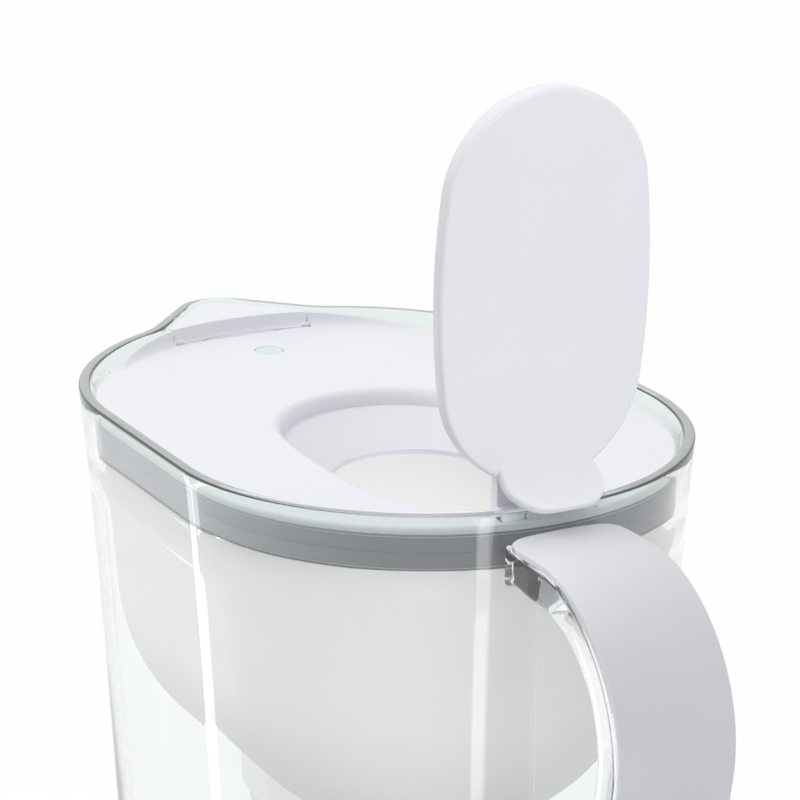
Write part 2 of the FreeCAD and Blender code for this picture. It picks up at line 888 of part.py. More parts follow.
def make_indicator_button():
    """Round window with a flange under the lid and a foot over the switch."""
    radius = button_diameter / 2
    flange_high = module_top - button_gap
    flange_low = flange_high - button_flange_thickness
    stem = Part.makeCylinder(radius, lid_level - flange_low, vec(indicator_x, 0, flange_low))
    rim = edges_at(stem, lambda edge: edge.BoundBox.ZMin > lid_level - pick_margin)
    stem = stem.makeFillet(button_gap, rim)
    flange = Part.makeCylinder(radius + button_flange, button_flange_thickness,
                               vec(indicator_x, 0, flange_low))
    return one_solid(stem.fuse(flange))


def make_indicator_housing():
    return one_solid(module_prism(0, module_bottom, module_top).cut(
        module_prism(module_wall, module_bottom, module_top)))


def make_indicator_board():
    return module_prism(module_wall + board_gap, board_bottom, board_top)


def make_indicator_switch():
    half = switch_size / 2
    sides = (indicator_x - half, indicator_x + half)
    body = box(sides, (-half, half), (board_top, board_top + switch_height))
    pressed = module_top - button_gap - button_flange_thickness - button_travel - button_gap
    plunger = Part.makeCylinder(plunger_diameter / 2, pressed - board_top, vec(indicator_x, 0, board_top))
    return one_solid(body.fuse(plunger))


def make_indicator_lamp():
    x = indicator_x + switch_size / 2 + lamp_width
    half = lamp_length / 2
    body = box((x, x + lamp_width), (-half, half), (board_top, board_top + lamp_height))
    upright = edges_at(body, lambda edge: edge.BoundBox.ZLength > lamp_height / 2)
    return one_solid(body.makeChamfer(lamp_width / 5, upright))


def make_coin_cell():
    radius = cell_diameter / 2
    can = Part.makeCylinder(radius, cell_thickness, vec(module_x, 0, board_bottom - cell_thickness))
    rim = edges_at(can, lambda edge: edge.BoundBox.ZLength < pick_margin)
    return one_solid(can.makeFillet(clip_thickness, rim))


def make_cell_clip():
    """Sprung strap under the battery, with a leg on each side up to the board."""
    inner = cell_diameter / 2 + board_gap
    outer = inner + clip_thickness
    half = clip_width / 2
    low = board_bottom - cell_thickness - clip_thickness
    strap = box((module_x - outer, module_x + outer), (-half, half), (low, board_bottom))
    room = box((module_x - inner, module_x + inner), (-half, half), (low + clip_thickness, board_bottom))
    return one_solid(strap.cut(room))


def make_indicator_gasket():
    low = module_bottom - gasket_thickness
    return one_solid(module_prism(0, low, module_bottom).cut(module_prism(module_wall, low, module_bottom)))


def make_indicator_cover():
    high = module_bottom - gasket_thickness
    low = high - module_cover_thickness
    plate = module_prism(0, low, high)
    rim_top = module_bottom + module_cover_thickness
    rim = module_prism(module_wall + board_gap, high, rim_top)
    room = module_prism(2 * module_wall + board_gap, high, rim_top)
    return one_solid(plate.fuse(rim.cut(room)))


# Filter cartridge

seal_low = basin_floor() + seat_gap
flange_low = seal_low + seal_thickness
flange_high = flange_low + cartridge_flange_thickness
shell_low = flange_low - cartridge_length


def shell_radius(level):
    """Outer radius of the cartridge at a height."""
    return cartridge_radius - (flange_low - level) * math.tan(math.radians(cartridge_draft))


def turned(corners):
    """A solid turned about the middle axis, from corners (radius, height, corner radius)."""
    face = rounded_face([(vec(r, 0, z), corner) for r, z, corner in corners])
    return face.revolve(vec(0, 0, 0), axis_z, 360)


def repeated(shape, count):
    """Copies of a shape spaced evenly round the middle axis."""
    return [shape.rotated(vec(0, 0, 0), axis_z, i * 360 / count) for i in range(count)]


def make_cartridge_shell():
    wall = cartridge_wall
    floor = shell_low + wall
    cup = turned([
        (0, shell_low, 0),
        (shell_radius(shell_low), shell_low, wall),
        (shell_radius(flange_low), flange_low, 0),
        (cartridge_radius + cartridge_flange, flange_low, 0),
        (cartridge_radius + cartridge_flange, flange_high, 0),
        (shell_radius(flange_high) - wall, flange_high, 0),
        (shell_radius(floor) - wall, floor, 0),
        (0, floor, 0),
    ])
    hole = Part.makeCylinder(outlet_hole, wall + 2 * overrun,
                             vec(cartridge_radius / 2, 0, shell_low - overrun))
    return one_solid(cup.cut(repeated(hole, outlet_count)))


def make_cartridge_seal():
    inner = cartridge_radius + board_gap
    return turned([
        (inner, seal_low, 0),
        (inner + seal_width, seal_low, 0),
        (inner + seal_width, flange_low, 0),
        (inner, flange_low, 0),
    ])


def make_cartridge_cap():
    """Dome with inlet slots round its side and a bar on top to lift it by."""
    radius = cartridge_radius + cartridge_flange - cap_wall
    top = flange_high + cap_height
    dome = turned([(0, flange_high, 0), (radius, flange_high, 0), (radius, top, cap_round), (0, top, 0)])
    inner = radius - cap_wall
    ceiling = top - cap_wall
    room = turned([(0, flange_high, 0), (inner, flange_high, 0), (inner, ceiling, cap_round - cap_wall),
                   (0, ceiling, 0)])
    half = slot_width / 2
    slot_base = flange_high + cap_wall
    slot = box((cartridge_radius / 2, radius + overrun), (-half, half), (slot_base, slot_base + slot_length))
    span = pull_span / 2
    width = pull_bar / 2
    bar_top = top + pull_height
    bar = box((-span, span), (-width, width), (ceiling, bar_top))
    grip = box((-span + pull_bar, span - pull_bar), (-width, width), (top, bar_top - pull_bar))
    body = dome.cut(room).cut(repeated(slot, slot_count)).fuse(bar.cut(grip))
    return one_solid(body)


def screen(level):
    radius = shell_radius(level) - cartridge_wall - board_gap
    return Part.makeCylinder(radius, screen_thickness, vec(0, 0, level))


inlet_level = flange_high - screen_drop
outlet_level = shell_low + cartridge_wall


def make_inlet_screen():
    return screen(inlet_level)


def make_outlet_screen():
    return screen(outlet_level)


def make_filter_media():
    low = outlet_level + screen_thickness
    clear = cartridge_wall + board_gap
    return turned([
        (0, low, 0),
        (shell_radius(low) - clear, low, 0),
        (shell_radius(inlet_level) - clear, inlet_level, 0),
        (0, inlet_level, 0),
    ])


pieces = {
    "jug": make_jug,
    "handle_frame": make_handle_frame,
    "handle_cover": make_handle_cover,
    "funnel": make_funnel,
    "lid": make_lid,
    "fill_flap": make_fill_flap,
    "flap_hinge_pin": make_flap_hinge_pin,
    "spout_flap": make_spout_flap,
    "indicator_button": make_indicator_button,
    "indicator_housing": make_indicator_housing,
    "indicator_board": make_indicator_board,
    "indicator_lamp": make_indicator_lamp,
    "indicator_switch": make_indicator_switch,
    "coin_cell": make_coin_cell,
    "cell_clip": make_cell_clip,
    "indicator_gasket": make_indicator_gasket,
    "indicator_cover": make_indicator_cover,
    "cartridge_shell": make_cartridge_shell,
    "cartridge_seal": make_cartridge_seal,
    "cartridge_cap": make_cartridge_cap,
    "inlet_screen": make_inlet_screen,
    "filter_media": make_filter_media,
    "outlet_screen": make_outlet_screen,
}

os.makedirs("parts", exist_ok=True)
for name, make in pieces.items():
    shape = make()
    print(name, shape.isValid(), round(shape.Volume), len(shape.Faces))
    shape.exportStep("parts/" + name + ".step")
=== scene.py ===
import math

import bmesh
import bpy
from mathutils import Matrix, Vector


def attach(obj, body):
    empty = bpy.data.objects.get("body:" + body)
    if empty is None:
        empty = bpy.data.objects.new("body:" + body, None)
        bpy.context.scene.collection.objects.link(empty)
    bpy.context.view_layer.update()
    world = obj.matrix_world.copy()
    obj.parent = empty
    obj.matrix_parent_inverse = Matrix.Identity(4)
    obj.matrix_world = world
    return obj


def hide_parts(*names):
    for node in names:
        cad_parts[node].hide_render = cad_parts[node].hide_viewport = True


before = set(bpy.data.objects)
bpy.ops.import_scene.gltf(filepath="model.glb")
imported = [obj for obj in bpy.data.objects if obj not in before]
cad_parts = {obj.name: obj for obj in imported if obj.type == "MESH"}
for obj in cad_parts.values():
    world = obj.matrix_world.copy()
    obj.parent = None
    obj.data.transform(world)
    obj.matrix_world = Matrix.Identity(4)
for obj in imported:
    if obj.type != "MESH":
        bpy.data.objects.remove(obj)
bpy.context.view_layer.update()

# Jug and handle loop
# One clear moulding in styrene-acrylonitrile: a deep jug with a V spout, a ring foot, a bead inside that
# carries the funnel, and a loop handle that runs out of the wall with a fillet on its underside.

MM = 0.001
rim_radius = 55.5
half_spacing = 20.75
jug_height = 256.0
jug_wall = 2.5
floor_thickness = 4.0
wall_draft = math.tan(math.radians(2.8))
flare = 1.2
base_radius = 12.0
foot_width = 9.0
foot_height = 1.6
foot_inner_round = 0.6
foot_outer_round = 0.8
rim_outer_round = 0.7
rim_inner_round = 0.6
spout_reach = 14.0
spout_tip_radius = 10.0
spout_half_angle = math.radians(43.0)
spout_blend_radius = 25.0
spout_depth = 60.0
bead_depth = 12.0
bead_width = 1.8
bead_height = 3.0
bead_taper = 5.0
bead_round = 0.4
bead_fade = 2.0
bead_gate = 24.0
wall_rings = 20
lower_ring_spacing = 4.0
plan_columns = 288
middle_slack = 0.001
spin_weld = 0.0001
mesh_weld = 0.0005
smooth_limit = math.radians(32.0)


def wall_inset(depth):
    """How far the outside has drawn in at a depth below the rim."""
    rest = max(0.0, 1 - depth / spout_depth)
    return depth * wall_draft + flare * (1 - rest ** 2)


def draw_section(bm, corners, segments=6):
    """Draw a chain of edges through corners (radius, height, rounding)."""
    verts = [bm.verts.new((radius, 0, height)) for radius, height, rounding in corners]
    for pair in zip(verts, verts[1:]):
        bm.edges.new(pair)
    for vert, (radius, height, rounding) in zip(verts, corners):
        if rounding:
            bmesh.ops.bevel(bm, geom=[vert], offset=rounding, offset_type="OFFSET", segments=segments,
                            profile=0.5, affect="VERTICES", material=-1)


def spin_round_plan(bm):
    """Spin the section full circle, then draw the two halves apart into round ends with straight sides."""
    bmesh.ops.spin(bm, geom=bm.verts[:] + bm.edges[:], cent=(0, 0, 0), axis=(0, 0, 1), dvec=(0, 0, 0),
                   angle=2 * math.pi, steps=plan_columns, use_merge=True)
    bmesh.ops.remove_doubles(bm, verts=bm.verts, dist=spin_weld)
    half_column = Matrix.Rotation(math.pi / plan_columns, 3, "Z")
    bmesh.ops.rotate(bm, cent=(0, 0, 0), matrix=half_column, verts=bm.verts)
    for side in (1, -1):
        half = [vert for vert in bm.verts if vert.co.x * side > middle_slack]
        bmesh.ops.translate(bm, vec=(side * half_spacing, 0, 0), verts=half)


def spout_radius(angle, inset):
    """Distance of the spout's outline from the centre of the round end, at an angle from its middle."""
    turn = abs(angle)
    tip_off = rim_radius + spout_reach - spout_tip_radius
    normal = math.pi / 2 - spout_half_angle
    blend_off = spout_tip_radius + spout_blend_radius
    across = tip_off * math.cos(normal) + blend_off
    blend_far = rim_radius + spout_blend_radius
    blend_turn = normal - math.acos(across / blend_far)
    if turn > blend_turn:
        return rim_radius - inset
    tip_arc = spout_tip_radius - inset
    tip_start = Vector((tip_off + tip_arc * math.cos(normal), tip_arc * math.sin(normal)))
    if turn < math.atan2(tip_start.y, tip_start.x):
        return tip_off * math.cos(turn) + math.sqrt(tip_arc ** 2 - (tip_off * math.sin(turn)) ** 2)
    blend_arc = spout_blend_radius + inset
    blend_end = Vector((blend_far * math.cos(blend_turn) - blend_arc * math.cos(normal),
                        blend_far * math.sin(blend_turn) - blend_arc * math.sin(normal)))
    if turn < math.atan2(blend_end.y, blend_end.x):
        return (tip_off * math.cos(normal) + tip_arc) / math.cos(turn - normal)
    off_line = blend_far * math.sin(blend_turn - turn)
    return blend_far * math.cos(blend_turn - turn) - math.sqrt(blend_arc ** 2 - off_line ** 2)


def push_out_spout(bm):
    """Push the wall out to the V of the spout, most at the rim and fading out below it."""
    for vert in bm.verts:
        depth = jug_height - vert.co.z
        away = Vector((-vert.co.x - half_spacing, vert.co.y))
        if depth > spout_depth or away.x < 0:
            continue
        inset = rim_radius - wall_inset(depth) - away.length
        if inset > jug_wall and abs(vert.co.y) < bead_gate:
            away *= (away.length + inset - jug_wall) / away.length
            inset = jug_wall
        excess = spout_radius(math.atan2(away.y, away.x), inset) - (rim_radius - inset)
        away *= 1 + excess * (1 - depth / spout_depth) / away.length
        vert.co.x = -half_spacing - away.x
        vert.co.y = away.y


def finished_mesh(bm, name):
    """Close and scale a piece modelled in millimetres, and shade it smooth between sharp edges."""
    bmesh.ops.remove_doubles(bm, verts=bm.verts, dist=mesh_weld)
    bmesh.ops.recalc_face_normals(bm, faces=bm.faces)
    bmesh.ops.scale(bm, vec=(MM, MM, MM), verts=bm.verts)
    mesh = bpy.data.meshes.new(name)
    bm.to_mesh(mesh)
    bm.free()
    mesh.shade_smooth()
    mesh.set_sharp_from_angle(angle=smooth_limit)
    return mesh


def set_piece(mesh, material, body, slot, *nodes):
    """Put a finished mesh into the scene as a piece of the pitcher."""
    mesh.materials.clear()
    mesh.materials.append(material)
    piece = bpy.data.objects.new(mesh.name, mesh)
    bpy.context.scene.collection.objects.link(piece)
    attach(piece, body)
    if nodes:
        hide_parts(*nodes)
    return piece


jug_shell = bmesh.new()
base_out = rim_radius - wall_inset(jug_height)
base_in = rim_radius - wall_inset(jug_height - floor_thickness) - jug_wall
foot_in = base_out - base_radius - foot_width
depths = [spout_depth * i / wall_rings for i in range(1, wall_rings + 1)]
lower_rings = int((jug_height - spout_depth - 2 * base_radius) / lower_ring_spacing)
lower_depths = [spout_depth + lower_ring_spacing * i for i in range(1, lower_rings + 1)]
bead_out = rim_radius - wall_inset(bead_depth) - jug_wall
bead_levels = [bead_depth, bead_depth + bead_height, bead_depth + bead_height + bead_taper]
outside = [(0, foot_height, 0), (foot_in, foot_height, foot_inner_round), (foot_in, 0, foot_outer_round),
           (base_out, 0, base_radius)]
outside += [(rim_radius - wall_inset(depth), jug_height - depth, 0)
            for depth in reversed(depths + lower_depths)]
outside += [(rim_radius, jug_height, rim_outer_round), (rim_radius - jug_wall, jug_height, rim_inner_round)]
inside = [(rim_radius - wall_inset(depth) - jug_wall, jug_height - depth, 0) for depth in depths
          if depth < bead_levels[0] - bead_round]
inside += [(bead_out, jug_height - bead_levels[0], 0),
           (bead_out - bead_width, jug_height - bead_levels[0], bead_round),
           (bead_out - bead_width, jug_height - bead_levels[1], bead_round),
           (rim_radius - wall_inset(bead_levels[2]) - jug_wall, jug_height - bead_levels[2], bead_fade)]
inside += [(rim_radius - wall_inset(depth) - jug_wall, jug_height - depth, 0) for depth in depths
           if depth > bead_levels[2] + bead_fade]
inside += [(base_in, floor_thickness, base_radius - jug_wall), (0, floor_thickness, 0)]
draw_section(jug_shell, outside + inside)
spin_round_plan(jug_shell)
push_out_spout(jug_shell)
jug_mesh = finished_mesh(jug_shell, "jug_shell")

handle_width = 25.0
frame_border = 0.8
frame_thickness = 7.3
frame_round = 2.2
frame_edge_round = 0.6
frame_round_segments = 8
handle_drop = 6.8
handle_reach = 47.8
handle_corner = 30.0
handle_lower_corner = 26.0
handle_length = 158.0
handle_lean = math.radians(10.0)
foot_rise = 14.0
root_fillet = 6.0
root_narrowing = 0.2
root_reach = 12.0
run_cuts = 40
bend_steps = 72

plan_reach = half_spacing + rim_radius
handle_top = jug_height - handle_drop
handle_low = handle_top - handle_length
path_corners = [
    Vector((plan_reach - wall_inset(handle_drop) - jug_wall / 2, 0, handle_top)),
    Vector((plan_reach + handle_reach, 0, handle_top)),
    Vector((plan_reach + handle_reach - handle_length * math.tan(handle_lean), 0, handle_low)),
    Vector((plan_reach - wall_inset(jug_height - handle_low) - jug_wall / 2, 0, handle_low + foot_rise)),
]


def sweep_handle(bm, ring):
    """Carry a ring of edges along the handle's loop: straight runs are extruded and bends are spun."""
    place = path_corners[0].copy()
    bends = (handle_corner, handle_lower_corner, 0)
    for start, corner, after, bend in zip(path_corners, path_corners[1:], path_corners[2:] + [None], bends):
        ahead = (corner - start).normalized()
        trim = 0.0
        if after is not None:
            turn = ahead.angle((after - corner).normalized())
            trim = bend * math.tan(turn / 2)
        run = corner - ahead * trim - place
        for _ in range(run_cuts):
            grown = bmesh.ops.extrude_edge_only(bm, edges=ring)["geom"]
            verts = [item for item in grown if isinstance(item, bmesh.types.BMVert)]
            ring = [item for item in grown if isinstance(item, bmesh.types.BMEdge)
                    and all(vert in verts for vert in item.verts)]
            bmesh.ops.translate(bm, vec=run / run_cuts, verts=verts)
        place = corner - ahead * trim
        if after is None:
            return ring
        centre = place + Vector((ahead.z, 0, -ahead.x)) * bend
        verts = list({vert for edge in ring for vert in edge.verts})
        swung = bmesh.ops.spin(bm, geom=verts + ring, cent=centre, axis=(0, 1, 0), dvec=(0, 0, 0),
                               angle=turn, steps=bend_steps)["geom_last"]
        ring = [item for item in swung if isinstance(item, bmesh.types.BMEdge)]
        place = corner + (after - corner).normalized() * trim


def wall_x(y, z, gap):
    """Place of the jug's wall at the handle end, for a height and a distance from the middle plane."""
    radius = rim_radius - wall_inset(jug_height - z) + gap
    return half_spacing + math.sqrt(radius ** 2 - y ** 2)


frame_loop = bmesh.new()
half = handle_width / 2 + frame_border
corners = [(half, 0, frame_edge_round), (half, -frame_thickness, frame_round),
           (-half, -frame_thickness, frame_round), (-half, 0, frame_edge_round)]
verts = [frame_loop.verts.new((path_corners[0].x, y, handle_top + z)) for y, z, rounding in corners]
for pair in zip(verts, verts[1:] + verts[:1]):
    frame_loop.edges.new(pair)
for vert, (y, z, rounding) in zip(verts, corners):
    bmesh.ops.bevel(frame_loop, geom=[vert], offset=rounding, offset_type="OFFSET",
                    segments=frame_round_segments, profile=0.5, affect="VERTICES", material=-1)
first_ring = frame_loop.edges[:]
last_ring = sweep_handle(frame_loop, first_ring)
for ring in (first_ring, last_ring):
    bmesh.ops.contextual_create(frame_loop, geom=ring)
foot_way = (path_corners[3] - path_corners[2]).normalized()
for vert in frame_loop.verts:
    upper = vert.co.z > handle_top - handle_length / 2
    along = vert.co.x - path_corners[0].x if upper else (path_corners[3] - vert.co).dot(foot_way)
    if along < root_reach:
        nearness = 1 - along / root_reach
        vert.co.y *= 1 - root_narrowing * nearness
        vert.co.x += (wall_x(vert.co.y, vert.co.z, -jug_wall / 2) - vert.co.x) * nearness
    gap = max(0.0, vert.co.x - wall_x(vert.co.y, vert.co.z, 0))
    if gap < root_fillet:
        spread = root_fillet - math.sqrt(root_fillet ** 2 - (root_fillet - gap) ** 2)
        middle_z = (handle_top if upper else handle_low + foot_rise) - frame_thickness / 2
        drop = (vert.co.z - middle_z) / frame_thickness
        if drop < 0:
            vert.co.z += drop * spread
frame_mesh = finished_mesh(frame_loop, "handle_loop")


def joined_mesh(name, first, second):
    """One closed mesh of two that run into each other."""
    helpers = [bpy.data.objects.new(mesh.name, mesh) for mesh in (first, second)]
    for helper in helpers:
        bpy.context.scene.collection.objects.link(helper)
    union = helpers[0].modifiers.new("join", "BOOLEAN")
    union.operation = "UNION"
    union.solver = "EXACT"
    union.object = helpers[1]
    mesh = bpy.data.meshes.new_from_object(helpers[0].evaluated_get(bpy.context.evaluated_depsgraph_get()))
    mesh.name = name
    for helper in helpers:
        bpy.data.objects.remove(helper)
    return mesh


jug_mesh = joined_mesh("clear_jug", jug_mesh, frame_mesh)
jug_mesh.shade_smooth()
jug_mesh.set_sharp_from_angle(angle=smooth_limit)


def srgb(code):
    """Linear colour of a hex code."""
    parts = [int(code[i:i + 2], 16) / 255 for i in (1, 3, 5)]
    return [c / 12.92 if c <= 0.04045 else ((c + 0.055) / 1.055) ** 2.4 for c in parts] + [1.0]


def add_node(tree, kind, inputs=(), **settings):
    """Add a node with its settings, and set or link its inputs."""
    node = tree.nodes.new(kind)
    for name, value in settings.items():
        setattr(node, name, value)
    for name, value in dict(inputs).items():
        if isinstance(value, bpy.types.NodeSocket):
            tree.links.new(value, node.inputs[name])
        else:
            node.inputs[name].default_value = value
    return node


def new_material(name):
    """An empty node material, its tree and its surface socket."""
    material = bpy.data.materials.new(name)
    material.use_nodes = True
    material.node_tree.nodes.clear()
    output = add_node(material.node_tree, "ShaderNodeOutputMaterial")
    return material, material.node_tree, output.inputs["Surface"]


# Clear styrene-acrylonitrile from a polished mould: water clear, with a breath of aqua along the rim where
# one looks far into it, a paler rim top that is a painted highlight, and a faint waviness of the melt.
rim_tint_low = 251.2
rim_tint_high = 252.2
painted_highlight_rim_level = 255.9
wall_clarity = 0.97
painted_highlight_clarity = 0.55
flow_size = 30.0
flow_depth = 0.4
clear_plastic, tree, surface = new_material("clear_styrene_acrylonitrile")
place = add_node(tree, "ShaderNodeTexCoord")
flow = add_node(tree, "ShaderNodeTexNoise", {"Vector": place.outputs["Object"], "Scale": 1 / (flow_size * MM),
                                             "Detail": 2.0})
waviness = add_node(tree, "ShaderNodeBump", {"Height": flow.outputs["Fac"], "Strength": 0.01,
                                             "Distance": flow_depth * MM})
height = add_node(tree, "ShaderNodeSeparateXYZ", {"Vector": place.outputs["Object"]})
near_rim = add_node(tree, "ShaderNodeMapRange", {"Value": height.outputs["Z"], "From Min": rim_tint_low * MM,
                                                 "From Max": rim_tint_high * MM})
clear = add_node(tree, "ShaderNodeMix", {"Factor": flow.outputs["Fac"], 6: srgb("#fcfefe"),
                                         7: srgb("#fafdfd")}, data_type="RGBA")
tint = add_node(tree, "ShaderNodeMix", {"Factor": near_rim.outputs["Result"], 6: clear.outputs[2],
                                        7: srgb("#ebf4f0")}, data_type="RGBA")
# Above this level the rim top lets less light through and shows its pale colour: a painted highlight.
on_painted_highlight = add_node(tree, "ShaderNodeMath", {0: height.outputs["Z"], 1: painted_highlight_rim_level * MM},
                   operation="GREATER_THAN")
clarity = add_node(tree, "ShaderNodeMapRange", {"Value": on_painted_highlight.outputs[0], "To Min": wall_clarity,
                                                "To Max": painted_highlight_clarity})
shader = add_node(tree, "ShaderNodeBsdfPrincipled", {
    "Base Color": tint.outputs[2], "Roughness": 0.0, "IOR": 1.49,
    "Transmission Weight": clarity.outputs["Result"], "Normal": waviness.outputs["Normal"]})
tree.links.new(shader.outputs["BSDF"], surface)

clear_jug = set_piece(jug_mesh, clear_plastic, "jug", "clear_plastic", "jug", "handle_frame")
clear_jug.visible_shadow = False
clear_jug.visible_diffuse = False

# Handle cover
# A white grip snapped over the outside of the clear loop, moulded in polypropylene with a satin face.
# Its ends stop short of the wall and follow its curve.

cover_edge = 1.2
cover_crown = 2.3
cover_gap = 1.0
cover_seat = 0.15
cover_corner = 4.5
cover_round = 0.5
cover_columns = 48
cover_slack = 0.01
crease_limit = math.radians(50.0)
crease_segments = 3

cover_shell = bmesh.new()
half = handle_width / 2
corners = [(-half, cover_seat), (half, cover_seat), (half, cover_edge), (-half, cover_edge)]
verts = [cover_shell.verts.new((path_corners[0].x, y, handle_top + z)) for y, z in corners]
sides = [cover_shell.edges.new(pair) for pair in zip(verts, verts[1:] + verts[:1])]
bmesh.ops.subdivide_edges(cover_shell, edges=[sides[0], sides[2]], cuts=cover_columns)
for vert in cover_shell.verts:
    if vert.co.z > handle_top + cover_edge - cover_slack:
        vert.co.z += (cover_crown - cover_edge) * (1 - (vert.co.y / half) ** 2)
first_ring = cover_shell.edges[:]
last_ring = sweep_handle(cover_shell, first_ring)
for ring in (first_ring, last_ring):
    bmesh.ops.contextual_create(cover_shell, geom=ring)
for vert in cover_shell.verts:
    upper = vert.co.z > handle_top - handle_length / 2
    past = max(0.0, abs(vert.co.y) - half + cover_corner)
    end = wall_x(vert.co.y, vert.co.z, cover_gap) + cover_corner - math.sqrt(cover_corner ** 2 - past ** 2)
    if vert.co.x < end:
        way = Vector((1, 0, 0)) if upper else foot_way
        vert.co += way * ((end - vert.co.x) / way.x)
bmesh.ops.remove_doubles(cover_shell, verts=cover_shell.verts, dist=cover_slack)
bmesh.ops.recalc_face_normals(cover_shell, faces=cover_shell.faces)
edges = [edge for edge in cover_shell.edges if len(edge.link_faces) == 2
         and edge.calc_face_angle() > crease_limit]
bmesh.ops.bevel(cover_shell, geom=edges, offset=cover_round, offset_type="OFFSET", segments=crease_segments,
                profile=0.5, affect="EDGES", clamp_overlap=True, material=-1)
cover_mesh = finished_mesh(cover_shell, "grip_cover")

cloud_size = 25.0
grain_depth = 0.05
gloss_range = 0.05


def moulded_plastic(name, light, dark, grain, relief, roughness):
    """Moulded plastic: hardly seen clouding from the melt, and the fine grain of the mould's face."""
    material, tree, surface = new_material(name)
    place = add_node(tree, "ShaderNodeTexCoord")
    clouds = add_node(tree, "ShaderNodeTexNoise", {"Vector": place.outputs["Object"], "Detail": 3.0,
                                                   "Scale": 1 / (cloud_size * MM)})
    grains = add_node(tree, "ShaderNodeTexNoise", {"Vector": place.outputs["Object"], "Detail": 2.0,
                                                   "Scale": 1 / (grain * MM)})
    colour = add_node(tree, "ShaderNodeMix", {"Factor": clouds.outputs["Fac"], 6: srgb(light), 7: srgb(dark)},
                      data_type="RGBA")
    gloss = add_node(tree, "ShaderNodeMapRange", {"Value": grains.outputs["Fac"],
                                                  "To Min": roughness - gloss_range,
                                                  "To Max": roughness + gloss_range})
    relief = add_node(tree, "ShaderNodeBump", {"Height": grains.outputs["Fac"], "Strength": relief,
                                               "Distance": grain_depth * MM})
    shader = add_node(tree, "ShaderNodeBsdfPrincipled", {
        "Base Color": colour.outputs[2], "Roughness": gloss.outputs["Result"], "IOR": 1.5,
        "Normal": relief.outputs["Normal"]})
    tree.links.new(shader.outputs["BSDF"], surface)
    return material


# Satin polypropylene: a soft white sheen on a fine grain.
grip_plastic = moulded_plastic("satin_polypropylene_white", "#f4f5fa", "#f0f1f6", 0.5, 0.2, 0.42)
set_piece(cover_mesh, grip_plastic, "jug", "grip_plastic", "handle_cover")

# Funnel
# The basin that hangs on the jug's bead, with a pouring channel at the spout and a socket for the cartridge.
# Moulded in thin milky polypropylene that passes light, so it throws no shade on its own inside.


def finish_node(material, *nodes):
    """Give pieces of the frame their finish."""
    for node in nodes:
        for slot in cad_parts[node].material_slots:
            slot.material = material


# Milky polypropylene: a warm, even white with a dull gloss.
funnel_plastic = moulded_plastic("milky_polypropylene", "#fdfdfb", "#fbfbf9", 0.6, 0.15, 0.38)
finish_node(funnel_plastic, "funnel")
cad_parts["funnel"].visible_shadow = False
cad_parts["funnel"].visible_diffuse = False

# Painted shade bands
# Thin grey bands on the funnel's flange and the lid's skirt, near the clear wall: painted shade for the gap.
# Through the wall they show as dark bands with a fine line between them. They stop short of the spout.

lip_gap = 0.35
lip_thickness = 0.32
lip_round = 0.25
lip_groove = 0.22
lip_seam = 247.8
seam_gap = 0.05
funnel_lip_low = 244.35
lid_lip_bead = 250.9
lid_lip_high = 251.5
funnel_lip_gate = 23.5
lid_lip_gate = 18.5

# Painted shade: a dull mid grey with a fine grain, for the dark gap behind the clear wall.
painted_shade_rubber = moulded_plastic("grey_elastomer_painted_shade", "#8b8f93", "#868a8e", 0.4, 0.3, 0.55)


def painted_shade_lip(name, levels, gate, body):
    """A thin grey band of painted shade along the wall's inside, with a groove at each level between its
    lowest and highest.
    """
    band = bmesh.new()
    outer = rim_radius - wall_inset(jug_height - levels[0]) - jug_wall - lip_gap
    inner = outer - lip_thickness
    section = [(inner, levels[0], 0), (outer, levels[0], lip_round)]
    for level in levels[1:-1]:
        section += [(outer, level - lip_groove, 0), (outer - lip_groove, level, 0),
                    (outer, level + lip_groove, 0)]
    section += [(outer, levels[-1], lip_round), (inner, levels[-1], 0), (inner, levels[0], 0)]
    draw_section(band, section, crease_segments)
    bmesh.ops.remove_doubles(band, verts=band.verts, dist=spin_weld)
    spin_round_plan(band)
    spout_side = [face for face in band.faces
                  if all(vert.co.x < -half_spacing and abs(vert.co.y) < gate for vert in face.verts)]
    bmesh.ops.delete(band, geom=spout_side, context="FACES")
    bmesh.ops.holes_fill(band, edges=[edge for edge in band.edges if edge.is_boundary], sides=0)
    return set_piece(finished_mesh(band, name), painted_shade_rubber, body, "seal_silicone")


# Both bands are grey as painted shade for the gap between the parts and the wall.
lips = [painted_shade_lip("funnel_painted_shade_lip", [funnel_lip_low, lip_seam - seam_gap], funnel_lip_gate, "funnel"),
        painted_shade_lip("lid_painted_shade_lip", [lip_seam, lid_lip_bead, lid_lip_high], lid_lip_gate, "lid")]

# Filter cartridge
# A white polypropylene cup with a domed, slotted cap, pushed into the funnel's socket on a silicone ring.
# Woven screens hold a bed of black carbon granules and amber resin beads inside.

# Cartridge polypropylene: a cool white, a little greyer than the funnel.
cartridge_plastic = moulded_plastic("cartridge_polypropylene", "#eef0f2", "#e8eaec", 0.5, 0.3, 0.4)
finish_node(cartridge_plastic, "cartridge_shell", "cartridge_cap")

# Clear silicone rubber, compression moulded: grey, dull and slightly uneven.
seal_silicone = moulded_plastic("silicone_rubber", "#c3cbcd", "#b6bec0", 0.4, 0.3, 0.6)
finish_node(seal_silicone, "cartridge_seal")

